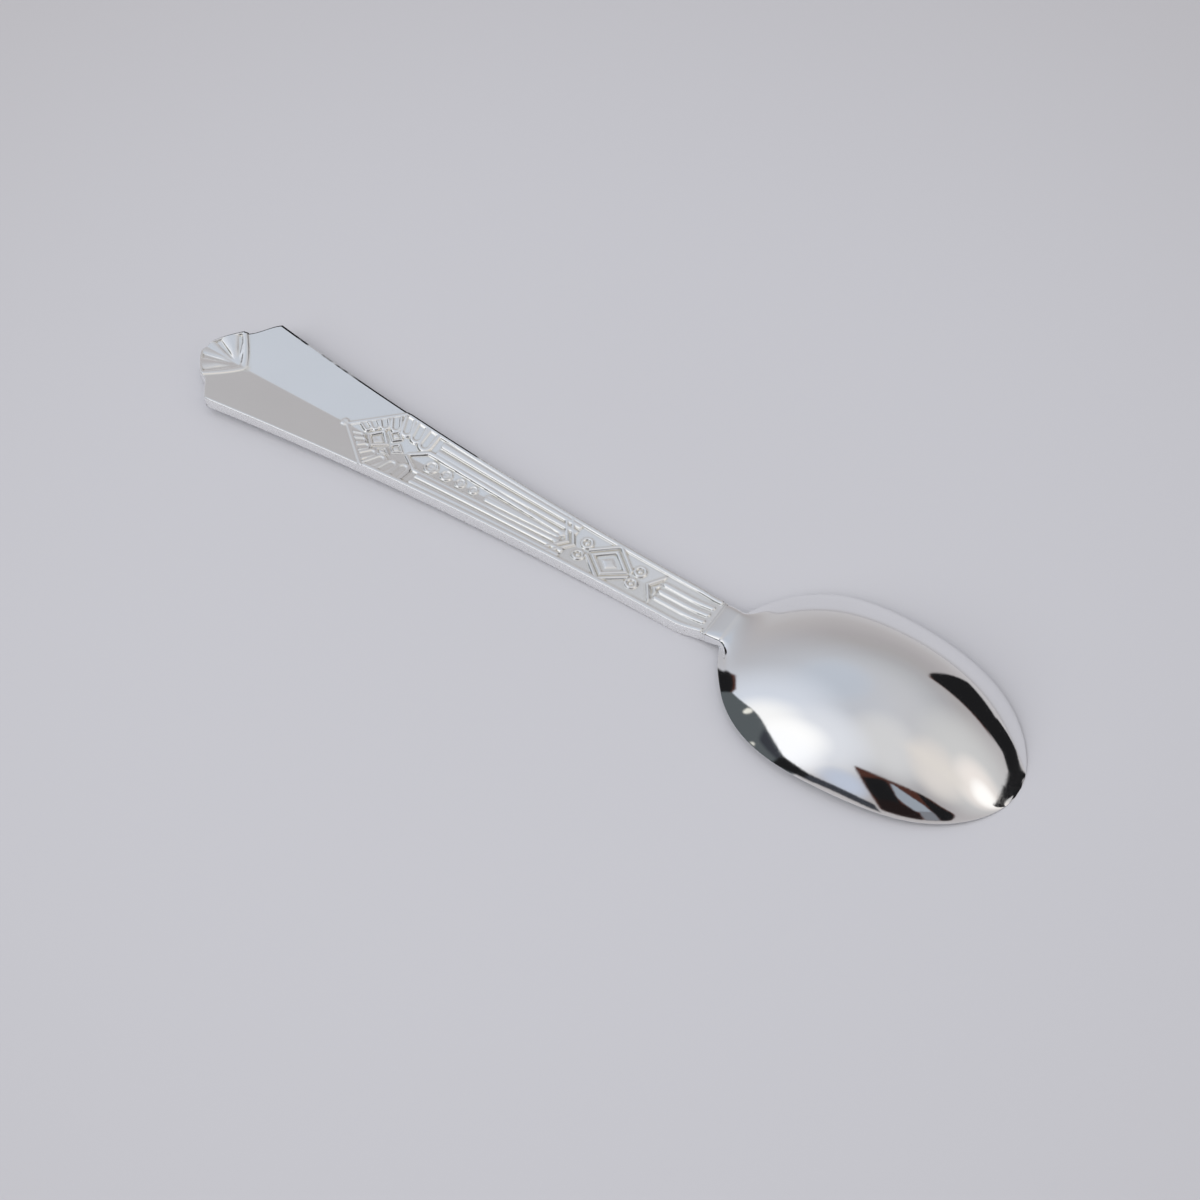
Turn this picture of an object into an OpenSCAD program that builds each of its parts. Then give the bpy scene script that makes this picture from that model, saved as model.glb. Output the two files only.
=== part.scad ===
/* [Handle] */
// Length from the tip of the shell to the joint with the bowl
handle_len = 99.4; // [90:0.1:115]
// Thickness of the handle
handle_t = 1.9; // [1.2:0.1:3]
// Width across the shoulders, the widest place of the handle
shoulder_w = 19.7; // [16:0.1:24]
// Distance from the tip of the shell to the shoulders
shoulder_at = 8.6; // [7:0.1:12]
// Width of the stem before it narrows to the joint
stem_w = 7.8; // [6:0.1:10]
// Width of the handle where it meets the bowl
neck_w = 6.8; // [5:0.1:8]
// Length over which the stem narrows to the joint
waist_len = 5; // [3:0.5:12]
// Depth of the fold along the back, measured at the shoulders
fold_depth = 2; // [0.5:0.1:3]
// Length over which the underside rises to the oval of the bowl
rise_len = 8; // [5:0.5:20]

/* [Shell end] */
// Distance from the tip of the shell to the ends of the rope bands
shell_len = 3.8; // [3:0.1:6]
// Width between the ends of the rope bands
shell_w = 11.2; // [8:0.1:14]
// Width of the blunt tip of the shell
tip_w = 1.8; // [1:0.1:3]
// Distance from the tip of the shell to the point where the rope bands meet
rope_apex = 8; // [6:0.1:10]
// Width of a rope band
rope_w = 1.2; // [0.6:0.1:2]
// Number of lobes in the shell
lobe_count = 5; // [3:2:7]

/* [Ornament] */
// Height of the raised ornament
relief_h = 0.35; // [0.1:0.05:0.6]
// Distance from the tip of the shell to the point of the fan
fan_at = 30; // [24:0.5:34]
// Length of the fan along the handle
fan_len = 16; // [12:0.5:20]
// Number of petals on each side of the fan
petal_count = 7; // [4:1:9]
// Width of the widest petal
petal_w = 2.1; // [1:0.1:3]
// Width of the raised lines that frame the ornament
line_w = 0.7; // [0.4:0.05:1]
// Length of the lozenge in the middle of the fan
medallion_len = 3.8; // [2:0.1:5]
// Width of the lozenge in the middle of the fan
medallion_w = 3.8; // [2:0.1:5]
// Width of the pointed frame round the beads
frame_w = 4.1; // [3:0.1:5]
// Diameter of the largest bead
bead_d = 2.5; // [1:0.1:3]
// Gap between two beads
bead_gap = 0.8; // [0.3:0.1:1.5]
// Number of beads
bead_count = 4; // [2:1:5]
// Length of the spear that follows the beads
spear_len = 14.5; // [8:0.5:20]
// Width of the spear at its wide end
spear_w = 1.6; // [0.8:0.1:2.4]
// Length of the rhombus panel near the neck
panel_len = 18; // [12:0.5:22]
// Diameter of the round bosses in the rhombus panel
boss_d = 2; // [1:0.1:2.6]
// Width of a short reed at the neck
reed_w = 1; // [0.5:0.1:1.4]
// Distance between two short reeds at the neck
reed_pitch = 1.4; // [0.8:0.1:2]
// Plain length between the reeds and the joint
reed_margin = 1.2; // [0.5:0.1:3]

/* [Bowl] */
// Length of the oval of the bowl
bowl_len = 47.8; // [40:0.1:60]
// Width of the bowl
bowl_w = 32.6; // [26:0.1:40]
// Depth of the bowl, measured outside from the rim to the crown
bowl_depth = 9.3; // [7:0.1:13]
// Height of the middle of the rim above the table
rim_bow = 1.8; // [0:0.1:3]
// Thickness of the bowl
bowl_t = 1; // [0.6:0.1:1.6]
// Length of the plain neck between the joint and the oval of the bowl
heel_len = 2.4; // [1:0.1:5]
// Height of the underside above the table where the oval of the bowl starts
heel_lift = 1.7; // [0.2:0.1:2.5]
// Length over which the neck widens and fades into the bowl
flare_len = 6; // [3:0.5:10]
// Width of the blunt end of the oval
bowl_tip_w = 0.8; // [0.4:0.1:2]

/* [Joint] */
// Thickness of the solder between the handle and the bowl
seam_t = 0.4; // [0.2:0.05:0.8]
// How far the solder stands out of the joint
seam_proud = 0.12; // [0.05:0.01:0.3]

/* [Hidden] */

// Faces across the back of the handle and across one arch of the bowl
across_count = 30;
arch_count = 20;
// Steps along each zone of the handle and along the bowl, and points round the solder
shell_count = 18;
plain_count = 4;
fan_count = 42;
bead_zone_count = 22;
panel_count = 42;
neck_count = 8;
bowl_count = 34;
heel_count = 3;
seam_point_count = 36;

// Exponents and shares that shape the outlines
shell_round_share = 0.75;
ogee_angle = 150;
taper_share = 2.1;
lift_share = 2;
fold_share = 1.15;
ridge_share = 0.12;
front_share = 0.55;
square_share = 8;
round_share = 2;
blend_share = 4;
flat_land_share = 0.25;

// Shape of the bowl: swell of the oval, cut of the dome at the rim, powers across and along it, and its skew
oval_shares = [1, -0.085, 0.22, 0.045, -0.285, 0.015];
dome_cut_share = 0.85;
dome_power_share = 0.54;
dome_length_share = 1.03;
dome_skew_share = 0.075;

// Places of the ornament, as shares of the half width or of the length that they follow
reed_shares = [0.467, 0.733];
reed_width_share = 0.11;
medallion_share = 0.39;
// Small lozenges: place along the fan, place across and size as shares of the middle lozenge
small_lozenge_shares = [[0.525, 0.46, 0.62], [0.62, 0, 0.62]];
drop_share = 0.04;
frame_point_share = 0.74;
frame_slope_share = 1.55;
chevron_share = 0.5;
petal_first_share = 0.34;
petal_last_share = 0.84;
petal_first_angle = 155;
petal_last_angle = 90;
petal_root_share = 0.12;
petal_swell_share = 0.075;
petal_small_share = 0.5;
bead_shrink_share = 0.86;
boss_shares = [0.2, 0.76];
boss_side_share = 0.48;
knob_share = 0.6;
arrow_shares = [0.1, 0.86, 0.95];
arrow_lean_share = 0.7;
rhombus_share = 0.48;
rhombus_length_share = 0.38;
rhombus_width_share = 0.7;
rhombus_core_share = 0.42;
rope_bow_share = 1.3;
rope_lean_share = 0.8;
lobe_spread_angle = 76;
lobe_root_share = 0.85;
lobe_width_share = 0.55;

// Stations worked out from the sizes above
fan_end = fan_at + fan_len;
drop_at = fan_at - fan_len * drop_share * 2;
frame_at = fan_at + fan_len * frame_point_share;
bead_at = fan_end + bead_gap;
spear_at = bead_center(bead_count) - bead_radius(bead_count);
panel_at = spear_at + spear_len;
panel_end = panel_at + panel_len;
reed_end = handle_len - reed_margin;
bowl_at = handle_len + seam_t + heel_len;
spoon_len = bowl_at + bowl_len;

function mix(a, b, t) = a + (b - a) * t;
function clamp(t) = min(1, max(0, t));
function smooth(t) = let (c = clamp(t)) c * c * (3 - 2 * c);
function steps(a, b, count) = [for (i = [0 : count - 1]) mix(a, b, i / count)];
function bulge(d, r) = abs(d) < r ? sqrt(1 - d * d / (r * r)) : 0;
function within(x, a, b) = x >= a && x <= b;
// Larger of two sizes, with a fillet where they cross
function blend(a, b) = pow(pow(a, blend_share) + pow(b, blend_share), 1 / blend_share);

// Half width of the handle at a station
function shell_half(x) = mix(tip_w, shell_w, pow(clamp(x / shell_len), shell_round_share)) / 2;
function ogee_half(x) =
    let (t = (x - shell_len) / (shoulder_at - shell_len))
    mix(shell_w, shoulder_w, (1 - cos(ogee_angle * t)) / (1 - cos(ogee_angle))) / 2;
function run_share(x) = clamp((x - shoulder_at) / (handle_len - shoulder_at));
function waist(x) = (stem_w - neck_w) * smooth((x - handle_len + waist_len) / waist_len);
function taper_half(x) = (mix(stem_w, shoulder_w, pow(1 - run_share(x), taper_share)) - waist(x)) / 2;
function handle_half(x) = x < shell_len ? shell_half(x) : x < shoulder_at ? ogee_half(x) : taper_half(x);

// Slope of the fold and height of the underside at a station
function fold_slope(x) = fold_depth * pow(1 - run_share(x), fold_share) / taper_half(x);
function underside(x) = heel_lift * pow(clamp((x - bowl_at + rise_len) / rise_len), lift_share);

// Beads, the largest first
function bead_radius(i) = bead_d / 2 * pow(bead_shrink_share, i);
function bead_step(i) = bead_radius(i - 1) + bead_gap + bead_radius(i);
function bead_center(i) = i == 0 ? bead_at : bead_center(i - 1) + bead_step(i);

// Height of each motif at a place on the back, from 0 to 1; y is the distance from the axis
function beads(x, y) =
    max([for (i = [0 : bead_count - 1]) bulge(norm([x - bead_center(i), y]), bead_radius(i))]);
function spear(x, y) =
    within(x, spear_at, panel_at) ? bulge(y, mix(spear_w, line_w, (x - spear_at) / spear_len) / 2) : 0;
function frame_side(x) =
    x < fan_end
    ? min(frame_w / 2, (x - frame_at) / frame_slope_share)
    : mix(frame_w, spear_w, (x - fan_end) / (panel_at - fan_end)) / 2;
function frame(x, y) = within(x, frame_at, panel_at) ? bulge(y - frame_side(x), line_w / 2) : 0;
function long_reeds(x, y) =
    within(x, fan_end, panel_at)
    ? max([for (s = reed_shares) bulge(y / handle_half(x) - s, reed_width_share)])
    : 0;
function border(x, y) =
    x > fan_at + fan_len * chevron_share && x < reed_end
    ? bulge(handle_half(x) - y - line_w / 2, line_w / 2)
    : 0;
function short_reeds(x, y) =
    within(x, panel_end, reed_end) ? max(bulge(y, reed_w / 2), bulge(y - reed_pitch, reed_w / 2)) : 0;

// Fan: a chevron, petals that turn from the point of the fan to the edges, a lozenge and a drop
fan_corner = fan_at + fan_len * chevron_share;
chevron_slope = handle_half(fan_corner) / (fan_corner - fan_at);
function chevron_y(x) = (x - fan_at) * chevron_slope;
function chevron(x, y) = within(x, fan_at, fan_corner) ? bulge(y - chevron_y(x), line_w / 2) : 0;
function petal(x, y, t) =
    let (
        angle = mix(petal_first_angle, petal_last_angle, t),
        foot = fan_at + fan_len * mix(petal_first_share, petal_last_share, t),
        root = fan_len * (petal_root_share + petal_swell_share * sin(180 * t)),
        half = petal_w / 2 * mix(petal_small_share, 1, t),
        along = (x - foot) * cos(angle) + y * sin(angle),
        side = y * cos(angle) - (x - foot) * sin(angle)
    )
    along > root + half ? bulge(side, half) : bulge(norm([along - root - half, side]), half);
function petals(x, y) =
    within(x, fan_at, fan_end) && y < chevron_y(x) - line_w / 2 && y < handle_half(x) - line_w
    ? max([for (i = [0 : petal_count - 1]) petal(x, y, i / (petal_count - 1))])
    : 0;
function lozenge(x, y, length, width) = bulge(2 * abs(x) / length + 2 * y / width, 1);
function medallion(x, y) = lozenge(x - fan_at - fan_len * medallion_share, y, medallion_len, medallion_w);
function small_lozenges(x, y) =
    max([
        for (s = small_lozenge_shares)
            lozenge(
                x - fan_at - fan_len * s[0],
                abs(y - medallion_w * s[1]),
                medallion_len * s[2],
                medallion_w * s[2]
            )
    ]);
function drop(x, y) = bulge(norm([x - fan_at + fan_len * drop_share, y]), line_w);

// Rhombus panel: bosses, arrows and a rhombus with a core
function panel_x(share) = panel_at + panel_len * share;
function field_half(x) = handle_half(x) - line_w;
function bosses(x, y) =
    max([
        for (s = boss_shares)
            let (side = boss_side_share * field_half(panel_x(s)))
            bulge(norm([x - panel_x(s), y - side]), boss_d / 2)
    ]);
function knobs(x, y) = bulge(norm([x - panel_at, y - boss_d / 2 * knob_share]), boss_d / 2 * knob_share);
function arrows(x, y) =
    y < field_half(x)
    ? max([
        for (s = arrow_shares)
            let (lean = s < rhombus_share ? arrow_lean_share : -arrow_lean_share)
            bulge(x - panel_x(s) + y * lean, line_w / 2)
    ])
    : 0;
function rhombus(x, y) =
    let (
        length = panel_len * rhombus_length_share,
        width = 2 * field_half(panel_x(rhombus_share)),
        level = 2 * abs(x - panel_x(rhombus_share)) / length + 2 * y / width
    )
    max(bulge((level - 1) * width / 2 * rhombus_width_share + line_w / 2, line_w / 2),
        bulge(level, rhombus_core_share));
function panel(x, y) =
    within(x, panel_at - boss_d, panel_end)
    ? max(bosses(x, y), knobs(x, y), arrows(x, y), rhombus(x, y))
    : 0;

// Shell end: two rope bands that meet on the axis, and lobes that spread from their meeting point
function rope_x(y) = mix(rope_apex, shell_len, pow(2 * y / shell_w, rope_bow_share));
function rope(x, y) = bulge((x - rope_x(y)) * rope_lean_share, rope_w / 2);
function lobes(x, y) =
    let (
        reach = norm([rope_apex * lobe_root_share - x, y]),
        angle = atan2(y, rope_apex * lobe_root_share - x),
        pitch = 2 * lobe_spread_angle / (lobe_count - 1),
        off = angle - pitch * round(angle / pitch)
    )
    x < rope_x(y) - rope_w / 2 && angle < lobe_spread_angle + pitch / 2
    ? bulge(reach * sin(off), reach * sin(pitch / 2) * lobe_width_share * 2)
    : 0;

function relief(x, y) =
    x < shoulder_at
    ? max(rope(x, y), lobes(x, y))
    : x < drop_at
    ? 0
    : max(chevron(x, y), petals(x, y), medallion(x, y), small_lozenges(x, y), drop(x, y), frame(x, y),
          beads(x, y), spear(x, y), long_reeds(x, y), border(x, y), short_reeds(x, y), panel(x, y));

// Heights of the back and of the front of the handle
function back_z(x, y) = underside(x) + handle_t + fold_slope(x) * abs(y) + relief_h * relief(x, abs(y));
function front_z(x, y) = underside(x) + fold_slope(x) * max(0, abs(y) - ridge_share * taper_half(x));

handle_stations = concat(
    steps(0, shoulder_at, shell_count),
    steps(shoulder_at, drop_at, plain_count),
    steps(drop_at, fan_end, fan_count),
    steps(fan_end, spear_at, bead_zone_count),
    steps(spear_at, panel_at - boss_d, plain_count),
    steps(panel_at - boss_d, panel_end, panel_count),
    steps(panel_end, reed_end, neck_count),
    [reed_end, handle_len]
);

function handle_ring(x) =
    let (half = handle_half(x), land = min(ridge_share * taper_half(x), front_share * half / 2))
    concat(
        [for (j = [0 : across_count]) let (y = half * (2 * j / across_count - 1)) [x, y, back_z(x, y)]],
        [for (y = [half, half * front_share, land, -land, -half * front_share, -half]) [x, y, front_z(x, y)]]
    );

// Place along the oval, from -1 at the heel to 1 at the tip; inset is 0 for the outside
function dish_share(x, inset) =
    max(-1, min(1, (2 * (x - bowl_at) - bowl_len) / (bowl_len - 2 * inset)));
function dish_half(x, inset) =
    let (t = dish_share(x, inset))
    (bowl_w / 2 - inset) * sqrt(1 - t * t) * (oval_shares * [for (i = [0 : len(oval_shares) - 1]) pow(t, i)]);

// Height of the dome across the bowl, from 0 on the rim to 1 on the axis
function dome(across) =
    let (cut = pow(dome_cut_share, 2), foot = pow(1 - cut, dome_power_share))
    (pow(1 - cut * across * across, dome_power_share) - foot) / (1 - foot);
function dish_rise(x, across, inset) =
    let (t = dish_share(x, inset))
    (bowl_depth - inset) * pow(1 - t * t, dome_length_share) * (1 + dome_skew_share * t) * dome(across);
function rim_z(x) =
    let (t = dish_share(x, 0))
    underside(x) * pow(clamp(-t), 2) + rim_bow * (1 - t * t);

// Bar that carries the square section of the neck into the bowl, where it widens, rounds off and fades
function neck_share(x) = smooth(-dish_share(x, 0));
function outer_half(x) = max(blend(dish_half(x, 0), neck_share(x) * neck_w / 2), bowl_tip_w / 2);
function bar_rise(x, y) =
    let (
        flare = smooth((x - bowl_at) / flare_len),
        half = mix(neck_w / 2, outer_half(x), flare),
        power = mix(square_share, round_share, flare)
    )
    handle_t * neck_share(x) * (1 - flare) * pow(1 - pow(min(1, abs(y) / half), power), 1 / power);

// One arch across the bowl outside and one inside, from one rim to the other
arch_angles = [for (j = [0 : arch_count]) 180 * j / arch_count];
function outer_arch(x) = [
    for (angle = arch_angles)
        let (
            c = -cos(angle),
            y = outer_half(x) * c,
            rise = blend(max(0, dish_rise(x, c, 0)), bar_rise(x, y))
        )
        [x, y, rim_z(x) + max(rise, bowl_t / 2 * sin(angle))]
];
function inner_arch(x) =
    let (land = flat_land_share * outer_half(x), half = dish_half(x, bowl_t))
    [
        for (angle = arch_angles)
            let (c = cos(angle))
            [x, max(half, land) * c, rim_z(x) + (half > land ? dish_rise(x, c, bowl_t) : 0)]
    ];
bowl_stations = concat(
    steps(bowl_at - heel_len, bowl_at, heel_count),
    [for (i = [0 : bowl_count]) bowl_at + bowl_len * (1 - cos(180 * i / bowl_count)) / 2]
);

// Flat oval ring of solder at a station
function seam_ring(x, proud) = [
    for (j = [0 : seam_point_count - 1])
        let (angle = 360 * j / seam_point_count, c = -cos(angle), s = sin(angle))
        [
            x,
            (neck_w / 2 + proud) * sign(c) * pow(abs(c), 2 / square_share),
            underside(x) + handle_t / 2 + (handle_t / 2 + proud) * sign(s) * pow(abs(s), 2 / square_share)
        ]
];

// Closed solid through rings that all have the same number of points; each end is a fan from its middle
function middle(ring) = let (z = [for (p = ring) p.z]) [ring[0].x, 0, (min(z) + max(z)) / 2];
module loft(rings) {
    count = len(rings[0]);
    last = len(rings) - 1;
    start = len(rings) * count;
    points = concat([for (ring = rings) each ring], [middle(rings[0]), middle(rings[last])]);
    sides = [
        for (i = [0 : last - 1], j = [0 : count - 1])
            let (a = i * count + j, b = i * count + (j + 1) % count)
            each [[a, b, b + count], [a, b + count, a + count]]
    ];
    start_cap = [for (j = [0 : count - 1]) [start, (j + 1) % count, j]];
    end_cap = [for (j = [0 : count - 1]) [start + 1, last * count + j, last * count + (j + 1) % count]];
    translate([-spoon_len / 2, 0, 0])
        polyhedron(points = points, faces = concat(sides, start_cap, end_cap));
}

module bowl() {
    color("gainsboro")
        loft([for (x = bowl_stations) concat(outer_arch(x), inner_arch(x))]);
}

module handle() {
    color("silver")
        loft([for (x = handle_stations) handle_ring(x)]);
}

module solder_seam() {
    color("darkgray")
        loft([
            seam_ring(handle_len, 0),
            seam_ring(handle_len + seam_t / 2, seam_proud),
            seam_ring(handle_len + seam_t, 0)
        ]);
}

bowl();
handle();
solder_seam();
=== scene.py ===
import math

import bmesh
import bpy
import numpy as np
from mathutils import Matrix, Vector


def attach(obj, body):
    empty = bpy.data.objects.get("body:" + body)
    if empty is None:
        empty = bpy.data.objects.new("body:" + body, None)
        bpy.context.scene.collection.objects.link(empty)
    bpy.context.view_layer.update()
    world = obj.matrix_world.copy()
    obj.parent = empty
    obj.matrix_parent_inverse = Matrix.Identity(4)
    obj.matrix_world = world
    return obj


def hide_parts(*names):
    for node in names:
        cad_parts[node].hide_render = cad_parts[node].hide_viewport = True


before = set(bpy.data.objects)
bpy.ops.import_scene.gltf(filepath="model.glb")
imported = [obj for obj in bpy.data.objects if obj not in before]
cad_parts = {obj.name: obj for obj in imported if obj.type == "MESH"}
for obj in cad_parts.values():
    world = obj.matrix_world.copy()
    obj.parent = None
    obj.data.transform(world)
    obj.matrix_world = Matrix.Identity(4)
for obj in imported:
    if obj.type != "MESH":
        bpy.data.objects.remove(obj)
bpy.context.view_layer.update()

# Sizes in millimetres: x runs from the tip of the shell, y across, z up from the table
MM = 0.001
SPOON_LEN = 150.0

# Handle: outline, fold and edges
HANDLE_LEN = 99.4
HANDLE_T = 1.9
SHOULDER_W = 19.7
SHOULDER_AT = 8.6
STEM_W = 7.8
NECK_W = 6.8
WAIST_LEN = 5.0
FOLD_DEPTH = 2.0
HEEL_LIFT = 1.7
RISE_LEN = 8.0
RIDGE_SHARE = 0.12
TAPER_POWER = 2.1
FOLD_POWER = 1.15
OGEE_TURN = 150
EDGE_R = 0.25
FOOT_R = 0.2
# Steps of the rounded edges in degrees, and places across the front as shares of the half width
EDGE_TURNS = (67.5, 45, 22.5, 0)
FOOT_TURNS = (0, 30, 60, 90)
FRONT_SHARES = (0.8, 0.6, 0.4, 0.2, RIDGE_SHARE, 0, -RIDGE_SHARE, -0.2, -0.4, -0.6, -0.8)

# Shell end: its outline, the band that closes it and its rim
SHELL_LEN = 3.8
SHELL_W = 11.2
SHELL_POWER = 0.75
TIP_W = 1.8
BAND_APEX = 8.0
BAND_W = 1.2
BAND_POWER = 1.3
BAND_SLANT = 0.8
SHELL_RIM_R = 0.45
# Lobes of the shell: angle between them, number from the axis to the side, where they start and swell
LOBE_PITCH = 38
LOBE_SPAN = 2.5
LOBE_ROOT = BAND_APEX * 0.85
LOBE_START = 0.8
LOBE_SWELL_LEN = 2.5
LOBE_FILL = 0.8

# Relief: its height, the reach and strength of its creases, the widths of its lines
RELIEF_H = 0.35
CREASE_R = 0.4
CREASE_GAIN = 1.8
LINE_W = 0.7
BOLD_W = 0.9
# Fan, with a drop on its point
FAN_AT = 30.0
FAN_LEN = 16.0
FAN_END = FAN_AT + FAN_LEN
FAN_CORNER = FAN_AT + FAN_LEN / 2
FAN_LINE_H = 0.6
FAN_MARGIN = 0.3
DROP_AT = 29.4
DROP_R = 0.75
# Petals: number a side; rim as a share of the half width, height of the field inside it
PETALS = 7
PETAL_W = 2.7
PETAL_RIM = 0.3
PETAL_FIELD_H = 0.3
# First and last petal of each side: angle from the axis, foot as a share of the fan, share of the width
PETAL_ANGLES = (155, 90)
PETAL_FEET = (0.34, 0.84)
PETAL_WIDTHS = (0.55, 1)
# Way from the foot of a petal to its root as a share of the fan, and what the middle petals add to it
PETAL_ROOT = 0.1
PETAL_ROOT_BOW = 0.075
# Lozenges in the fan: place along, place across, length, width; then rim, and core as height and size
LOZENGES = ((36.1, 0, 4.6, 4.2), (39.8, 0, 2.9, 2.2), (38.4, 1.85, 2.9, 2.3))
LOZENGE_RIM = 0.2
LOZENGE_CORE = (0.8, 0.5)
# Pointed frame round the beads
FRAME_AT = 41.8
FRAME_W = 4.1
FRAME_SLOPE = 1.55
FRAME_END_W = 1.6
# Beads: place along and radius; then rim and core
BEADS = ((46.8, 1.25), (49.75, 1.08), (52.5, 0.93), (55.0, 0.8))
BEAD_RIM = 0.2
BEAD_CORE = (0.85, 0.66)
SPEAR_AT = 57.2
SPEAR_W = 1.6
# Panel, with two dots at its start and a margin in which its lines end
PANEL_AT = 71.4
PANEL_LEN = 18.0
PANEL_END = PANEL_AT + PANEL_LEN
PANEL_LEAD = 1.0
PANEL_MARGIN = 0.1
DOT_SIDE = 0.75
DOT_R = 0.7
# Bosses: places as shares of the panel's length, place across, radius and half width of the ring, core
BOSS_PLACES = (0.24, 0.78)
BOSS_SIDE = 1.3
BOSS_R = 0.8
BOSS_RIM = 0.3
BOSS_CORE = (0.8, 0.4)
# Slanted lines of the panel: place as a share of its length, lean
SLANTS = ((0.08, 0.7), (0.145, 0.7), (0.9, -0.7), (0.97, -0.7))
SLANT_R = 0.4
# Rhombus: place as a share of the panel's length, half sizes, its two lines as shares of them, core
RHOMBUS_PLACE = 0.51
RHOMBUS = (3.4, 2.7)
RHOMBUS_INNER = 0.88
RHOMBUS_OUTER = 1.32
RHOMBUS_SCALE = 2.1
RHOMBUS_LINE_R = 0.33
RHOMBUS_REACH = 3.9
RHOMBUS_CORE = (0.9, 0.42)
# Short reeds at the neck
REED_R = 0.5
REED_SIDE = 1.45
REED_GAP = 0.6
REED_LEAD = 0.2
REED_END = 98.2
# Line along the handle's edge
EDGE_LINE_R = 0.45
EDGE_LINE_END = 99.0
# Long reeds: places and half width as shares of the handle's half width, way that they run into the panel
REED_SHARES = (0.467, 0.733)
REED_HALF_SHARE = 0.11
REED_RUN_IN = 2
# Zones of the handle: start, end and number of steps
HANDLE_ZONES = (
    (0, SHOULDER_AT, 86),
    (SHOULDER_AT, 28.5, 20),
    (28.5, 47, 205),
    (47, SPEAR_AT + 1, 110),
    (SPEAR_AT + 1, 70, 40),
    (70, PANEL_END + 1.5, 225),
    (PANEL_END + 1.5, 97, 26),
    (97, HANDLE_LEN, 24),
)
ACROSS_COUNT = 104

# Solder seam and bowl
SEAM_T = 0.4
SEAM_PROUD = 0.05
HEEL_AT = HANDLE_LEN + SEAM_T
BOWL_AT = 102.2
BOWL_W = 32.56
BOWL_DEPTH = 9.27
RIM_BOW = 1.8
RIM_EDGE = 0.12
TIP_HALF = 0.02
BOWL_T = 1.0
# Half width of the flat front where the hollow has run out, as a share of the bowl's
LAND_SHARE = 0.25
FLARE_LEN = 8.4
DOME_CUT = 0.85
DOME_POWER = 0.54
DOME_LENGTH = 1.03
DOME_SKEW = 0.075
# Terms of the oval's swell from its middle to its ends
SWELL = (1, -0.085, 0.22, 0.045, -0.285, 0.015)
HEEL_COUNT = 16
BOWL_COUNT = 210
ARCH_COUNT = 121
SEAM_COUNT = 96
# Power of the rounded squares of the neck's bar and of the seam, and of the bar's section where it has faded
SQUARE_POWER = 8
FADED_POWER = 1.5
# Powers that blend the bowl with the neck: in the outline and in the height
OUTLINE_BLEND = 4
HEIGHT_BLEND = 1.5
SEAM_STEPS = 9


def mix(a, b, t):
    return a + (b - a) * t


def clamp(t):
    return np.clip(t, 0.0, 1.0)


def smooth(t):
    t = clamp(t)
    return t * t * (3 - 2 * t)


def ridge(d, r):
    """Half-round ridge of half width r, from 0 at its sides to 1 on its top."""
    return np.sqrt(clamp(1 - (d / r) ** 2))


def between(x, a, b):
    return (x >= a) & (x <= b)


# Outline and fold of the handle
def run_share(x):
    return clamp((x - SHOULDER_AT) / (HANDLE_LEN - SHOULDER_AT))


def taper_half(x):
    waist = (STEM_W - NECK_W) * smooth((x - HANDLE_LEN + WAIST_LEN) / WAIST_LEN)
    return (mix(STEM_W, SHOULDER_W, (1 - run_share(x)) ** TAPER_POWER) - waist) / 2


def handle_half(x):
    shell = mix(TIP_W, SHELL_W, clamp(x / SHELL_LEN) ** SHELL_POWER) / 2
    turn = math.radians(OGEE_TURN)
    bend = (1 - np.cos(turn * (x - SHELL_LEN) / (SHOULDER_AT - SHELL_LEN))) / (1 - math.cos(turn))
    ogee = mix(SHELL_W, SHOULDER_W, bend) / 2
    return np.where(x < SHELL_LEN, shell, np.where(x < SHOULDER_AT, ogee, taper_half(x)))


def fold_slope(x):
    return FOLD_DEPTH * (1 - run_share(x)) ** FOLD_POWER / taper_half(x)


def underside(x):
    return HEEL_LIFT * clamp((x - BOWL_AT + RISE_LEN) / RISE_LEN) ** 2


# Relief on the back, from 0 to 1; a is the distance from the axis
def band_x(a):
    return mix(BAND_APEX, SHELL_LEN, (2 * a / SHELL_W) ** BAND_POWER)


def fan_line(x):
    return (x - FAN_AT) * float(handle_half(np.array(FAN_CORNER))) / (FAN_CORNER - FAN_AT)


def shell_end(x, a):
    band = ridge((x - band_x(a)) * BAND_SLANT, BAND_W / 2)
    reach = np.hypot(LOBE_ROOT - x, a)
    angle = np.arctan2(a, LOBE_ROOT - x)
    pitch = math.radians(LOBE_PITCH)
    off = angle - pitch * np.round(angle / pitch)
    swell = smooth((reach - LOBE_START) / LOBE_SWELL_LEN)
    lobe = swell * ridge(reach * np.sin(off), reach * math.sin(pitch / 2) * LOBE_FILL)
    rim = ridge(handle_half(x) - a - EDGE_R, SHELL_RIM_R)
    inside = (x < band_x(a) - BAND_W / 2) & (angle < pitch * LOBE_SPAN)
    return np.where(x < SHOULDER_AT, np.maximum(band, np.where(inside, np.maximum(lobe, rim), 0)), 0)


def petal(x, a, t):
    """Tongue with a raised rim; t runs from 0 at the first petal to 1 at the last."""
    angle = math.radians(mix(*PETAL_ANGLES, t))
    foot = FAN_AT + FAN_LEN * mix(*PETAL_FEET, t)
    half = PETAL_W / 2 * mix(*PETAL_WIDTHS, t)
    root = FAN_LEN * (PETAL_ROOT + PETAL_ROOT_BOW * math.sin(math.pi * t)) + half
    along = (x - foot) * math.cos(angle) + a * math.sin(angle) - root
    side = a * math.cos(angle) - (x - foot) * math.sin(angle)
    reach = np.where(along > 0, np.abs(side), np.hypot(along, side)) / half
    field = 1 - PETAL_RIM
    return np.maximum(ridge(reach - field, PETAL_RIM), PETAL_FIELD_H * (reach < field))


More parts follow.
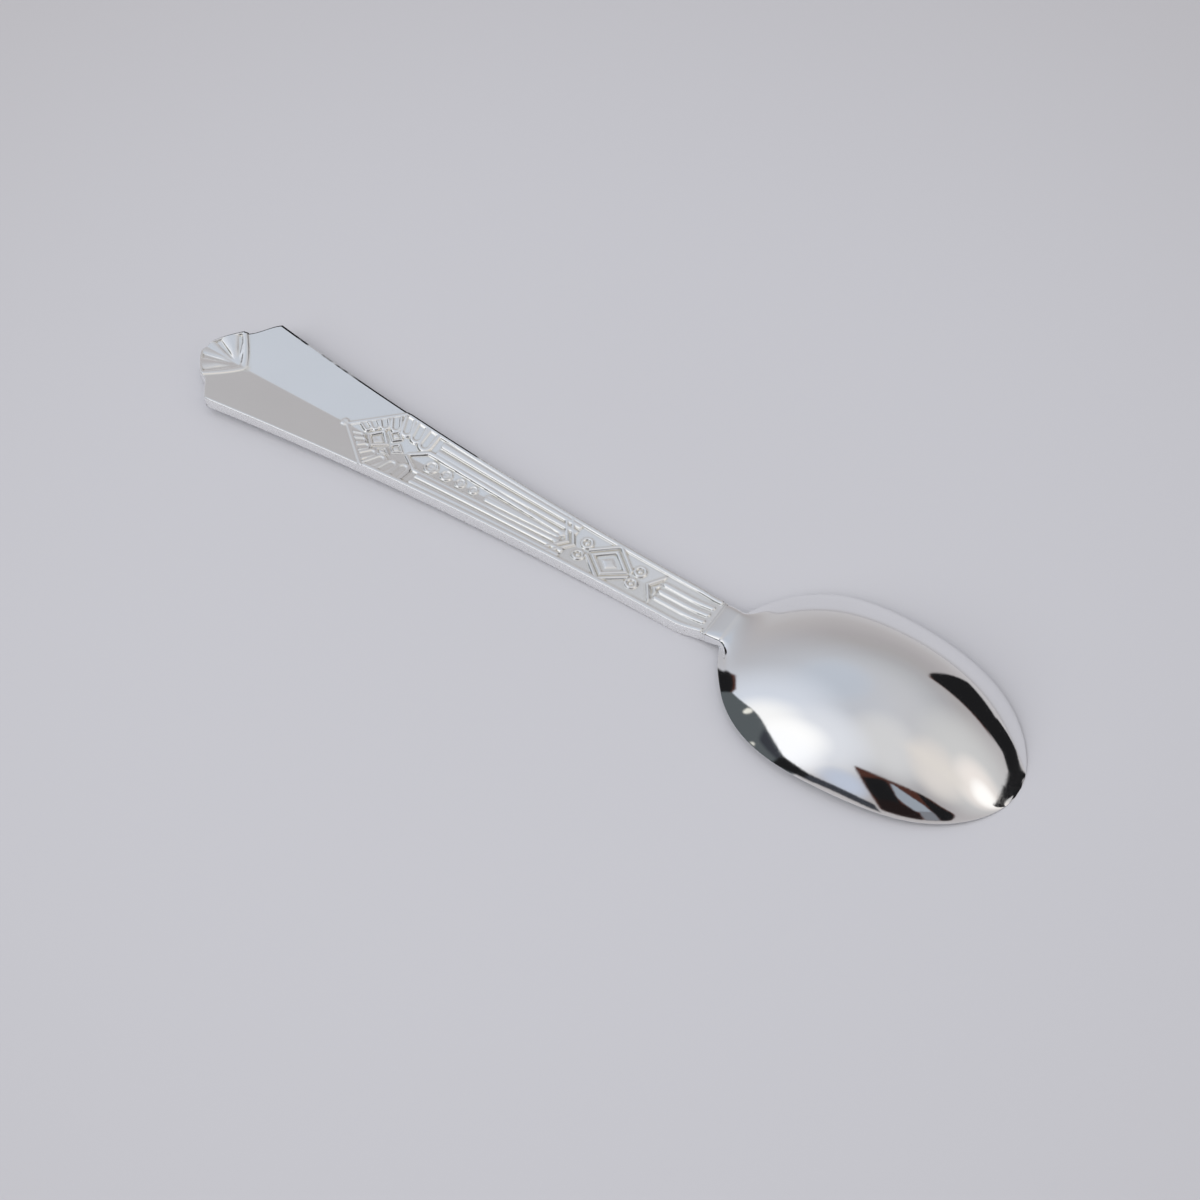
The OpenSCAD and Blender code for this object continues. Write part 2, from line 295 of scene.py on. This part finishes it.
def lozenge(x, a, length, width):
    level = 2 * np.abs(x) / length + 2 * a / width
    core_h, core = LOZENGE_CORE
    return np.maximum(ridge(level - 1 + LOZENGE_RIM, LOZENGE_RIM), core_h * ridge(level, core))


def fan(x, a):
    line_y = fan_line(x)
    line = np.where(between(x, FAN_AT, FAN_CORNER), FAN_LINE_H * ridge(a - line_y, BOLD_W / 2), 0)
    field = between(x, FAN_AT, FAN_END) & (a < line_y - BOLD_W / 2) & (a < handle_half(x) - FAN_MARGIN)
    petals = np.max([petal(x, a, i / (PETALS - 1)) for i in range(PETALS)], axis=0)
    found = [line, np.where(field, petals, 0), ridge(np.hypot(x - DROP_AT, a), DROP_R)]
    for place, side, length, width in LOZENGES:
        found.append(lozenge(x - place, np.abs(a - side), length, width))
    return np.maximum.reduce(found)


def frame_side(x):
    point = np.minimum(FRAME_W / 2, (x - FRAME_AT) / FRAME_SLOPE)
    taper = mix(FRAME_W, FRAME_END_W, (x - FAN_END) / (PANEL_AT - FAN_END)) / 2
    return np.where(x < FAN_END, point, taper)


def beads_and_reeds(x, a):
    half = handle_half(x)
    frame_line = np.where(between(x, FRAME_AT, PANEL_AT), ridge(a - frame_side(x), BOLD_W / 2), 0)
    found = [frame_line]
    core_h, core = BEAD_CORE
    for place, r in BEADS:
        reach = np.hypot(x - place, a) / r
        found.append(np.maximum(ridge(reach - 1 + BEAD_RIM, BEAD_RIM), core_h * ridge(reach, core)))
    width = mix(SPEAR_W, LINE_W, clamp((x - SPEAR_AT) / (PANEL_AT - SPEAR_AT))) / 2
    head = np.hypot(np.minimum(x - SPEAR_AT - SPEAR_W / 2, 0), a)
    found.append(np.where(between(x, SPEAR_AT, PANEL_AT), ridge(head, width), 0))
    for share in REED_SHARES:
        reed = ridge(a / half - share, REED_HALF_SHARE)
        found.append(np.where(between(x, FAN_END, PANEL_AT + REED_RUN_IN), reed, 0))
    edge_line = ridge(half - a - EDGE_LINE_R, EDGE_LINE_R)
    found.append(np.where(between(x, FAN_CORNER, EDGE_LINE_END), edge_line, 0))
    return np.maximum.reduce(found)


def panel(x, a):
    field = handle_half(x) - LINE_W
    found = [ridge(np.hypot(x - PANEL_AT, a - DOT_SIDE), DOT_R)]
    core_h, core = BOSS_CORE
    for share in BOSS_PLACES:
        place = PANEL_AT + PANEL_LEN * share
        reach = np.hypot(x - place, a - BOSS_SIDE)
        found.append(np.maximum(ridge(reach - BOSS_R, BOSS_RIM), core_h * ridge(reach, core)))
    for share, lean in SLANTS:
        line = ridge(x - PANEL_AT - PANEL_LEN * share + a * lean, SLANT_R)
        found.append(np.where(a < field, line, 0))
    middle = PANEL_AT + PANEL_LEN * RHOMBUS_PLACE
    level = np.abs(x - middle) / RHOMBUS[0] + a / RHOMBUS[1]
    found.append(ridge((level - RHOMBUS_INNER) * RHOMBUS_SCALE, RHOMBUS_LINE_R))
    outer = ridge((level - RHOMBUS_OUTER) * RHOMBUS_SCALE, RHOMBUS_LINE_R)
    found.append(outer * (np.abs(x - middle) < RHOMBUS_REACH))
    core_h, core = RHOMBUS_CORE
    found.append(core_h * ridge(level, core))
    inside = between(x, PANEL_AT - PANEL_LEAD, PANEL_END) & (a < field + PANEL_MARGIN)
    return np.where(inside, np.maximum.reduce(found), 0)


def end_reeds(x, a):
    start = PANEL_END + REED_GAP
    over = np.maximum(np.maximum(start - x, x - REED_END), 0)
    middle = ridge(np.hypot(over, a), REED_R)
    sides = ridge(np.hypot(over, a - REED_SIDE), REED_R)
    return np.where(x > PANEL_END - REED_LEAD, np.maximum(middle, sides), 0)


def relief(x, a):
    motifs = [shell_end(x, a), fan(x, a), beads_and_reeds(x, a), panel(x, a), end_reeds(x, a)]
    return np.maximum.reduce(motifs)


def crease(x, y, raised):
    """How far a place lies below the ornament round it, from 0 to 1."""
    turns = np.radians(np.arange(0, 360, 45))
    near = [relief(x + CREASE_R * math.cos(t), np.abs(y + CREASE_R * math.sin(t))) for t in turns]
    return clamp((np.mean(near, axis=0) - raised) * CREASE_GAIN)


def back_z(x, y, raised):
    return underside(x) + HANDLE_T + fold_slope(x) * np.abs(y) + RELIEF_H * raised


def front_z(x, y):
    return underside(x) + fold_slope(x) * np.maximum(0, np.abs(y) - RIDGE_SHARE * taper_half(x))


# Meshes from rings of points
def add_mesh(name, rings, materials, face_material=None, relief_values=None):
    stations, count = rings.shape[:2]
    points = rings.reshape(-1, 3) - [SPOON_LEN / 2, 0, 0]
    mesh = bpy.data.meshes.new(name)
    i, j = np.meshgrid(np.arange(stations - 1), np.arange(count), indexing="ij")
    k = (j + 1) % count
    quads = np.stack([i * count + j, i * count + k, (i + 1) * count + k, (i + 1) * count + j], -1)
    faces = quads.reshape(-1, 4).tolist()
    faces += [list(range(count))[::-1], list(range((stations - 1) * count, stations * count))]
    mesh.from_pydata((points * MM).tolist(), [], faces)
    for material in materials:
        mesh.materials.append(material)
    if face_material is not None:
        index = np.concatenate([np.tile(face_material, stations - 1), [0, 0]]).astype(np.int32)
        mesh.polygons.foreach_set("material_index", index)
    if relief_values is not None:
        attribute = mesh.attributes.new("relief", "FLOAT", "POINT")
        attribute.data.foreach_set("value", relief_values.astype(np.float32).ravel())
    mesh.polygons.foreach_set("use_smooth", np.ones(len(mesh.polygons), dtype=bool))
    solid = bmesh.new()
    solid.from_mesh(mesh)
    bmesh.ops.remove_doubles(solid, verts=solid.verts, dist=1e-7)
    bmesh.ops.recalc_face_normals(solid, faces=solid.faces)
    solid.to_mesh(mesh)
    solid.free()
    piece = bpy.data.objects.new(name, mesh)
    bpy.context.collection.objects.link(piece)
    return piece


def handle_piece(materials):
    parts = [np.linspace(a, b, n, endpoint=False) for a, b, n in HANDLE_ZONES]
    x = np.concatenate(parts + [[HANDLE_LEN]])[:, None]
    half = handle_half(x)
    tip = EDGE_R * (1 - np.sqrt(clamp(1 - (1 - np.minimum(x / EDGE_R, 1)) ** 2)))
    y = np.linspace(-1, 1, ACROSS_COUNT)[None, :] * (half - EDGE_R)
    raised = relief(x + 0 * y, np.abs(y))
    top = np.stack([x + 0 * y, y, back_z(x, y, raised) - tip], -1)
    turn = np.radians(EDGE_TURNS)[None, :]
    edge_z = top[:, -1:, 2]
    edge_y = half - EDGE_R + EDGE_R * np.cos(turn)
    edge = np.stack([x + 0 * turn, edge_y, edge_z - EDGE_R + EDGE_R * np.sin(turn)], -1)
    foot_z = front_z(x, half) + tip
    low = np.radians(FOOT_TURNS)[None, :]
    foot_y = half - FOOT_R + FOOT_R * np.cos(low)
    foot = np.stack([x + 0 * low, foot_y, foot_z + FOOT_R - FOOT_R * np.sin(low)], -1)
    base_y = np.array(FRONT_SHARES)[None, :] * half
    base = np.stack([x + 0 * base_y, base_y, front_z(x, base_y) + tip], -1)
    flip = np.array([1, -1, 1])
    ring = np.concatenate(
        [top, edge, foot, base, foot[:, ::-1] * flip, edge[:, ::-1] * flip], axis=1
    )
    across, walls = top.shape[1], len(FOOT_TURNS)
    back, wall, front, reflection_line = 0, 1, 2, 3
    kinds = np.full(ring.shape[1], back)
    kinds[across + walls - 1 : across + 2 * walls - 1] = wall
    kinds[across + 2 * walls - 1 : -2 * walls + 1] = front
    kinds[-2 * walls : -walls] = wall
    # The last rows of the back and the rounding of the handle's far edge carry the painted dark reflection
    kinds[across - 2 : across + walls - 1] = reflection_line
    values = np.ones(ring.shape[:2])
    values[:, :across] = 1 - crease(x, y, raised)
    return add_mesh("handle", ring, materials, kinds, values)


# Bowl: an oval dish that runs into the neck
def dish_share(x, inset):
    return (2 * x - BOWL_AT - SPOON_LEN) / (SPOON_LEN - BOWL_AT - 2 * inset)


def dish_half(x, inset):
    t = np.clip(dish_share(x, inset), -1, 1)
    swell = sum(term * t**power for power, term in enumerate(SWELL))
    return (BOWL_W / 2 - inset) * np.sqrt(1 - t * t) * swell


def dish_rise(x, across, inset):
    t = np.clip(dish_share(x, inset), -1, 1)
    foot = (1 - DOME_CUT**2) ** DOME_POWER
    dome = ((1 - (DOME_CUT * across) ** 2) ** DOME_POWER - foot) / (1 - foot)
    return (BOWL_DEPTH - inset) * clamp(1 - t * t) ** DOME_LENGTH * (1 + DOME_SKEW * t) * clamp(dome)


def rim_z(x):
    t = np.clip(dish_share(x, 0), -1, 1)
    return underside(x) * clamp(-t) ** 2 + RIM_BOW * (1 - t * t)


def blend(a, b, power):
    return (a**power + b**power) ** (1 / power)


def neck_share(x):
    return smooth(-np.clip(dish_share(x, 0), -1, 1))


def bar_rise(x, y, half):
    """Square bar of the neck, which widens, rounds off and fades as it runs into the bowl."""
    flare = smooth((x - HEEL_AT) / FLARE_LEN)
    reach = np.minimum(np.abs(y) / mix(NECK_W / 2, half, flare), 1)
    section = (1 - reach ** mix(SQUARE_POWER, 2, flare)) ** mix(1 / SQUARE_POWER, FADED_POWER, flare)
    return HANDLE_T * neck_share(x) * (1 - flare) * section


def bowl_piece(materials):
    steps = np.linspace(0, math.pi, BOWL_COUNT)
    x = BOWL_AT + (SPOON_LEN - BOWL_AT) * (1 - np.cos(steps)) / 2
    x = np.concatenate([np.linspace(HEEL_AT, BOWL_AT, HEEL_COUNT, endpoint=False), x])[:, None]
    across = -np.cos(np.linspace(0, math.pi, ARCH_COUNT))[None, :]
    neck = neck_share(x) * NECK_W / 2
    half = np.maximum(blend(dish_half(x, 0), neck, OUTLINE_BLEND), TIP_HALF)
    rise = blend(dish_rise(x, across, 0), bar_rise(x, half * across, half), HEIGHT_BLEND)
    crown = np.maximum(rise[:, [ARCH_COUNT // 2]], TIP_HALF)
    edge = np.minimum(RIM_EDGE, crown / 2)
    outer = np.stack([x + 0 * across, half * across, rim_z(x) + edge + rise * (1 - edge / crown)], -1)
    turn = np.radians(FOOT_TURNS)[None, :]
    r = np.minimum(edge, half) / 2
    side = np.stack([x + 0 * turn, half - r + r * np.cos(turn), rim_z(x) + r - r * np.sin(turn)], -1)
    inner_across = across[:, ::-2]
    land = LAND_SHARE * half
    inner_half = np.maximum(dish_half(x, BOWL_T), land)
    hollow = dish_rise(x, inner_across, BOWL_T) * (dish_half(x, BOWL_T) > land)
    inner = np.stack([x + 0 * inner_across, inner_half * inner_across, rim_z(x) + hollow], -1)
    flip = np.array([1, -1, 1])
    ring = np.concatenate([outer, side, inner, side[:, ::-1] * flip], axis=1)
    return add_mesh("bowl", ring, materials)


def seam_piece(materials):
    turn = np.linspace(0, 2 * math.pi, SEAM_COUNT, endpoint=False)[None, :]
    c, s = np.cos(turn), np.sin(turn)
    shape = np.linspace(0, math.pi, SEAM_STEPS)[:, None]
    x = HANDLE_LEN + SEAM_T * (1 - np.cos(shape)) / 2
    proud = SEAM_PROUD * np.sin(shape)
    y = (NECK_W / 2 + proud) * np.sign(c) * np.abs(c) ** (2 / SQUARE_POWER)
    z = underside(x) + HANDLE_T / 2 + (HANDLE_T / 2 + proud) * np.sign(s) * np.abs(s) ** (2 / SQUARE_POWER)
    return add_mesh("solder_seam", np.stack([x + 0 * y, y, z], -1), materials)


# Materials
# Colour sockets of a mix node
MIX_FACTOR, MIX_A, MIX_B, MIX_RESULT = 0, 6, 7, 2
CLOUD_SCALE = 140.0
# Scale of the noise in the painted dark reflection along the handle's far edge
REFLECTION_SCALE = 160.0
# Painted dark reflection along the handle's far edge: what it adds to its noise at its start and at its end,
# and the sums from which it shows
REFLECTION_FADE = (0.2, -0.25)
REFLECTION_EDGE = (0.52, 0.58)
SPECK_EDGE = 0.03
# Values between which a noise mostly lies
NOISE_LOW = 0.3
NOISE_HIGH = 0.7
CLOUD_TONE = 0.985
# Height in the relief at which the tint of a crease gives way to the tint of its sides
CREASE_TOP = 0.35
BUMP_DEPTH = 0.00005


class Nodes:
    """Small helper that adds nodes to a tree and links them."""

    def __init__(self, tree):
        self.tree = tree
        tree.nodes.clear()

    def add(self, kind, **values):
        node = self.tree.nodes.new(kind)
        for name, value in values.items():
            setattr(node, name, value)
        return node

    def link(self, a, b):
        self.tree.links.new(a, b)

    def ramp(self, source, *stops):
        node = self.add("ShaderNodeValToRGB")
        items = node.color_ramp.elements
        while len(items) < len(stops):
            items.new(0.5)
        for item, (place, color) in zip(items, stops):
            item.position = place
            item.color = (*color, 1)
        self.link(source, node.inputs["Fac"])
        return node.outputs["Color"]

    def noise(self, place, scale, detail):
        node = self.add("ShaderNodeTexNoise")
        node.inputs["Scale"].default_value = scale
        node.inputs["Detail"].default_value = detail
        self.link(place, node.inputs["Vector"])
        return node.outputs["Fac"]

    def mixed(self, factor, color, tone):
        """Colour that goes to one fixed tone as the factor goes from 0 to 1."""
        node = self.add("ShaderNodeMix", data_type="RGBA")
        self.link(factor, node.inputs[MIX_FACTOR])
        self.link(color, node.inputs[MIX_A])
        node.inputs[MIX_B].default_value = (*tone, 1)
        return node.outputs[MIX_RESULT]


def silver(name, roughness, spread, tint, bump, grain, metal=1.0, recess=None, specks=None, dark_reflection=None):
    """Silver with clouds and grain; recess tints creases, specks add dark places, and the last argument
    paints a dark reflection into the colour, faded along the spoon.
    """
    material = bpy.data.materials.new(name)
    material.use_nodes = True
    n = Nodes(material.node_tree)
    out = n.add("ShaderNodeOutputMaterial")
    shader = n.add("ShaderNodeBsdfPrincipled")
    shader.inputs["Metallic"].default_value = metal
    place = n.add("ShaderNodeTexCoord").outputs["Object"]
    fine = n.noise(place, grain, 4.0)
    cloud = n.noise(place, CLOUD_SCALE, 2.0)
    color = n.ramp(cloud, (NOISE_LOW, tuple(CLOUD_TONE * c for c in tint)), (NOISE_HIGH, tint))
    if recess:
        height = n.add("ShaderNodeAttribute", attribute_name="relief").outputs["Fac"]
        dark, top = recess
        depth = n.ramp(height, (0.0, dark), (CREASE_TOP, top), (1.0, (1, 1, 1)))
        node = n.add("ShaderNodeMix", data_type="RGBA", blend_type="MULTIPLY")
        node.inputs[MIX_FACTOR].default_value = 1.0
        n.link(color, node.inputs[MIX_A])
        n.link(depth, node.inputs[MIX_B])
        color = node.outputs[MIX_RESULT]
    if specks:
        scale, start, dark = specks
        speckle = n.noise(place, scale, 1.0)
        spot = n.ramp(speckle, (start, (0, 0, 0)), (start + SPECK_EDGE, (1, 1, 1)))
        color = n.mixed(spot, color, dark)
    # Painted dark reflection: a dark line whose noise fades along the spoon's length
    if dark_reflection:
        start, end, dark = dark_reflection
        along = n.add("ShaderNodeSeparateXYZ")
        n.link(place, along.inputs[0])
        fade = n.add("ShaderNodeMapRange")
        fade.inputs["From Min"].default_value = start
        fade.inputs["From Max"].default_value = end
        fade.inputs["To Min"].default_value, fade.inputs["To Max"].default_value = REFLECTION_FADE
        n.link(along.outputs["X"], fade.inputs["Value"])
        sum_node = n.add("ShaderNodeMath", operation="ADD")
        n.link(fade.outputs["Result"], sum_node.inputs[0])
        n.link(n.noise(place, REFLECTION_SCALE, 3.0), sum_node.inputs[1])
        reflection_line = n.ramp(sum_node.outputs[0], (REFLECTION_EDGE[0], (0, 0, 0)), (REFLECTION_EDGE[1], (1, 1, 1)))
        color = n.mixed(reflection_line, color, dark)
    n.link(color, shader.inputs["Base Color"])
    rough = n.add("ShaderNodeMapRange")
    rough.inputs["From Min"].default_value = NOISE_LOW
    rough.inputs["From Max"].default_value = NOISE_HIGH
    rough.inputs["To Min"].default_value = roughness - spread
    rough.inputs["To Max"].default_value = roughness + spread
    n.link(fine, rough.inputs["Value"])
    n.link(rough.outputs["Result"], shader.inputs["Roughness"])
    lift = n.add("ShaderNodeBump")
    lift.inputs["Strength"].default_value = bump
    lift.inputs["Distance"].default_value = BUMP_DEPTH
    n.link(fine, lift.inputs["Height"])
    n.link(lift.outputs["Normal"], shader.inputs["Normal"])
    n.link(shader.outputs["BSDF"], out.inputs["Surface"])
    return material


# Floor: two tones near the spoon, and a darker tone far from it that is painted shade, the floor darkening
# away from the spoon; the distances of the change in metres
PAPER_LOW = (0.56, 0.558, 0.588)
PAPER_HIGH = (0.572, 0.57, 0.60)
PAPER_FAR_SHADE = (0.475, 0.463, 0.475)
PAPER_FADE = (0.05, 0.26)
PAPER_SCALE = 3.0
FLOOR_SIZE = 6.0


def paper():
    material = bpy.data.materials.new("paper")
    material.use_nodes = True
    n = Nodes(material.node_tree)
    out = n.add("ShaderNodeOutputMaterial")
    shader = n.add("ShaderNodeBsdfPrincipled")
    shader.inputs["Roughness"].default_value = 0.7
    shader.inputs["Specular IOR Level"].default_value = 0.1
    place = n.add("ShaderNodeTexCoord").outputs["Object"]
    color = n.ramp(n.noise(place, PAPER_SCALE, 2.0), (NOISE_LOW, PAPER_LOW), (NOISE_HIGH, PAPER_HIGH))
    # Painted shade: the floor goes to the darker far tone away from the spoon
    reach = n.add("ShaderNodeVectorMath", operation="LENGTH")
    n.link(place, reach.inputs[0])
    fade = n.add("ShaderNodeMapRange", interpolation_type="SMOOTHSTEP")
    fade.inputs["From Min"].default_value, fade.inputs["From Max"].default_value = PAPER_FADE
    n.link(reach.outputs["Value"], fade.inputs["Value"])
    n.link(n.mixed(fade.outputs["Result"], color, PAPER_FAR_SHADE), shader.inputs["Base Color"])
    n.link(shader.outputs["BSDF"], out.inputs["Surface"])
    return material


# Room round the table: colours by the height of the direction, from the horizon to overhead
ROOM_BANDS = (
    (0.0, (0.53, 0.518, 0.532)),
    (0.07, (0.505, 0.49, 0.50)),
    (0.16, (0.465, 0.445, 0.452)),
    (0.37, (0.41, 0.39, 0.40)),
    (0.5, (0.40, 0.385, 0.39)),
    (0.64, (0.42, 0.415, 0.432)),
    (0.74, (0.465, 0.47, 0.49)),
    (0.87, (0.527, 0.532, 0.558)),
    (1.0, (0.56, 0.56, 0.585)),
)
# Soft glows: azimuth, elevation, outer angle, colour
GLOWS = (
    (203, 48, 66, (0.53, 0.55, 0.60)),
    (164, 59, 24, (0.51, 0.55, 0.62)),
    (300, 62, 30, (0.66, 0.66, 0.67)),
    (14, 34, 38, (0.62, 0.62, 0.62)),
    (347, 45, 23, (0.73, 0.69, 0.66)),
    (214, 30, 45, (0.68, 0.72, 0.80)),
    (246, 39, 35, (0.75, 0.77, 0.82)),
    (219, 28, 24, (0.98, 0.98, 0.98)),
    (239, 32, 20, (1.06, 1.06, 1.06)),
    (243, 18, 22, (1.04, 1.05, 1.08)),
    (272, 19, 12, (0.52, 0.57, 0.68)),
    (10, 26, 17, (0.89, 0.83, 0.79)),
    (9, 22, 9, (1.1, 1.08, 1.05)),
)
# Things in the room and the light gaps between them: colour, softness of the edge in degrees,
# corners as azimuth and elevation
CREAM = (0.75, 0.71, 0.67)
GREY = (0.095, 0.108, 0.115)
COAL = (0.042, 0.045, 0.055)
SLATE = (0.31, 0.345, 0.395)
ASH = (0.2, 0.21, 0.235)
BLACK = (0.012, 0.012, 0.013)
UMBER = (0.016, 0.011, 0.011)
BROWN = (0.07, 0.028, 0.021)
LAMP = (0.82, 0.81, 0.74)
SHAPES = (
    (CREAM, 7.0, ((354, 31), (10, 31), (3, 43), (350, 63), (326, 63), (343, 45))),
    # Dark block and round grey hill in front of the window on the left
    (BROWN, 1.0, ((177, 12), (177, 18.8), (182, 19.8), (188, 19.8), (191.5, 16), (192, 11))),
    (BLACK, 1.0, ((177.5, 2), (176.5, 16.5), (180, 17.8), (184, 18.2), (189, 17), (194, 9.5), (194, 2))),
    (GREY, 0.9, (
        (190.5, 2), (190.5, 16.5), (197, 22.3), (204, 26.8), (210, 29.2), (217, 30), (225, 29.2), (233, 27),
        (240, 24.1), (246, 20.4), (252, 15.5), (258, 10), (258, 2),
    )),
    (COAL, 2.0, (
        (206, 24), (210, 28.6), (217, 29.4), (225, 28.6), (233, 26.4), (240, 23.5), (246, 19.8), (252, 14.5),
        (256, 10), (256, 4), (241, 4), (236, 13), (226, 20),
    )),
    (LAMP, 1.1, ((204.5, 25), (206, 27.6), (208.5, 27.6), (210, 25), (209, 21.5), (207, 21))),
    (LAMP, 1.2, ((231.5, 10.5), (232.5, 13), (234, 13), (235, 10.5))),
    # Low dark line that joins the hill and the next shape
    (BLACK, 1.0, ((249, 7), (249, 17.3), (254, 16), (259, 13.6), (264, 11.2), (264, 7))),
    (COAL, 0.9, ((261, 7), (261, 12), (285, 12.5), (288, 7.5))),
    # Dark arch in front, with a light opening
    (BROWN, 1.1, (
        (273, 37.5), (280, 38.7), (290, 39), (300, 38.7), (307, 37), (314, 34.9), (320, 33.6), (323.5, 32),
        (328, 28), (332, 24), (336, 19.5), (337, 16), (334, 11.5), (332, 9.8), (288, 10.3), (273.5, 34.5),
    )),
    (BLACK, 1.5, (
        (278, 30.5), (283, 33), (288, 35.5), (294.5, 35), (298, 28.5), (302, 20), (301, 16), (288, 16),
        (283, 20.5),
    )),
    (UMBER, 1.3, ((286, 17), (292, 21), (302, 22), (309, 19.3), (313, 15.5), (313, 10.5), (288.5, 10.5))),
    (BLACK, 1.2, (
        (316, 33.5), (321, 32.3), (327, 27.3), (331.5, 23.3), (335.5, 18.8), (336, 15), (333, 11),
        (331, 9.8), (326, 9.8),
    )),
    (SLATE, 1.0, (
        (296, 34.5), (299, 35), (304.6, 32.6), (310, 30), (315.5, 27), (319.5, 23), (322, 19), (311, 18),
        (304, 22), (299, 26),
    )),
    (ASH, 1.2, ((311, 19), (322.5, 19), (324.5, 14), (325, 10.5), (313.5, 10.5), (313, 15))),
    # Dark blade on the right, with a thin tail
    (BROWN, 1.6, (
        (45, 16), (50, 19.5), (55, 23.5), (60, 27), (65, 30), (71, 32.5), (78, 35), (81, 33), (81, 25),
        (60, 18),
    )),
    (BLACK, 1.0, (
        (43, 12), (55, 21.5), (60, 25.2), (65, 28.2), (71, 30.8), (78, 32.8), (81.5, 31), (82.8, 25),
        (81.5, 18), (79.5, 12), (78.5, 4.5), (52, 4.3), (46, 6),
    )),
    (BLACK, 0.6, ((53, 0), (35, 7.5), (35, 11.7), (43, 12), (58, 12), (62, 3.5), (57, 0.8))),
    (BLACK, 0.6, ((36, 11.7), (26, 15), (26, 11.5), (36, 6.5))),
    (BLACK, 0.6, ((27.5, 15), (17, 17.6), (9, 17.6), (9, 15.8), (27.5, 11))),
)


def direction(azimuth, elevation):
    a, e = math.radians(azimuth), math.radians(elevation)
    return (math.cos(e) * math.cos(a), math.cos(e) * math.sin(a), math.sin(e))


def towards(n, way, axis, low, high):
    """Soft mask from 0 to 1 as the part of a direction along an axis goes from low to high."""
    dot = n.add("ShaderNodeVectorMath", operation="DOT_PRODUCT")
    dot.inputs[1].default_value = axis
    n.link(way, dot.inputs[0])
    mask = n.add("ShaderNodeMapRange", interpolation_type="SMOOTHSTEP")
    mask.inputs["From Min"].default_value = low
    mask.inputs["From Max"].default_value = high
    n.link(dot.outputs["Value"], mask.inputs["Value"])
    return mask.outputs["Result"]


def inside_shape(n, way, softness, corners):
    """Soft mask of a convex shape on the sky, the product of the half spaces inside its sides."""
    points = [Vector(direction(*corner)) for corner in corners]
    middle = sum(points, Vector())
    edge = math.sin(math.radians(softness))
    mask = None
    for a, b in zip(points, points[1:] + points[:1]):
        axis = a.cross(b).normalized()
        if axis.dot(middle) < 0:
            axis = -axis
        side = towards(n, way, axis, -edge, edge)
        if mask is None:
            mask = side
            continue
        product = n.add("ShaderNodeMath", operation="MULTIPLY")
        n.link(mask, product.inputs[0])
        n.link(side, product.inputs[1])
        mask = product.outputs[0]
    return mask


def room():
    world = bpy.data.worlds.new("room")
    bpy.context.scene.world = world
    world.use_nodes = True
    n = Nodes(world.node_tree)
    way = n.add("ShaderNodeTexCoord").outputs["Generated"]
    parts = n.add("ShaderNodeSeparateXYZ")
    n.link(way, parts.inputs[0])
    color = n.ramp(parts.outputs["Z"], *ROOM_BANDS)
    for azimuth, elevation, outer, tone in GLOWS:
        low = math.cos(math.radians(outer))
        color = n.mixed(towards(n, way, direction(azimuth, elevation), low, 1.0), color, tone)
    for tone, softness, corners in SHAPES:
        color = n.mixed(inside_shape(n, way, softness, corners), color, tone)
    back = n.add("ShaderNodeBackground")
    back.inputs["Strength"].default_value = 1.0
    n.link(color, back.inputs["Color"])
    out = n.add("ShaderNodeOutputWorld")
    n.link(back.outputs["Background"], out.inputs["Surface"])


def soft_lamp(name, azimuth, elevation, distance, size, power):
    lamp = bpy.data.lights.new(name, "AREA")
    lamp.size = size
    lamp.energy = power
    piece = bpy.data.objects.new(name, lamp)
    piece.location = Vector(direction(azimuth, elevation)) * distance
    piece.rotation_euler = (-piece.location).to_track_quat("-Z", "Y").to_euler()
    piece.visible_glossy = False
    bpy.context.collection.objects.link(piece)


def stage():
    bpy.ops.mesh.primitive_plane_add(size=FLOOR_SIZE)
    floor = bpy.context.object
    floor.name = "floor"
    floor.data.materials.append(paper())


# Camera of the photograph: focal length and sensor in millimetres, place and aim in metres
FOCAL_LEN = 56.06
SENSOR_W = 36.0
CAMERA_AT = Vector((0.10034, -0.14282, 0.22858))
CAMERA_AIM = Vector((0.00746, -0.00522, 0.0))
CLIP_START = 0.01


def camera():
    lens = bpy.data.cameras.new("camera")
    lens.lens = FOCAL_LEN
    lens.sensor_width = SENSOR_W
    lens.clip_start = CLIP_START
    piece = bpy.data.objects.new("camera", lens)
    piece.location = CAMERA_AT
    piece.rotation_euler = (CAMERA_AIM - CAMERA_AT).to_track_quat("-Z", "Y").to_euler()
    bpy.context.collection.objects.link(piece)
    bpy.context.scene.camera = piece


WHITE = (0.95, 0.95, 0.95)
polished = silver("polished_silver", 0.05, 0.015, WHITE, 0.02, 2500.0)
struck = silver(
    "struck_silver", 0.15, 0.03, (0.96, 0.96, 0.955), 0.03, 2500.0, metal=0.9,
    recess=((0.74, 0.70, 0.61), (0.94, 0.93, 0.90)), specks=(1500.0, 0.81, (0.4, 0.37, 0.32)),
)
blanked = silver(
    "blanked_edge", 0.28, 0.06, (0.98, 0.975, 0.965), 0.35, 3500.0,
    specks=(2500.0, 0.72, (0.62, 0.59, 0.54)),
)
# Far edge of the handle: silver with a painted dark reflection along it
reflection_edge_silver = silver(
    "painted_reflection_edge", 0.25, 0.05, (0.9, 0.9, 0.88), 0.1, 2500.0,
    dark_reflection=(-0.03, -0.004, (0.02, 0.019, 0.018)),
)
soldered = silver("soldered_silver", 0.12, 0.03, (0.93, 0.93, 0.92), 0.05, 2500.0)

for piece, node, slot in (
    (handle_piece([struck, blanked, polished, reflection_edge_silver]), "handle", "handle_silver"),
    (bowl_piece([polished]), "bowl", "bowl_silver"),
    (seam_piece([soldered]), "solder_seam", "solder"),
):
    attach(piece, "root")
    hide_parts(node)

room()
stage()
soft_lamp("window_lamp", azimuth=245, elevation=40, distance=4.2, size=3.6, power=72.0)
soft_lamp("top_lamp", azimuth=270, elevation=70, distance=4.5, size=4.8, power=72.0)
camera()
bpy.context.scene.view_settings.view_transform = "Standard"
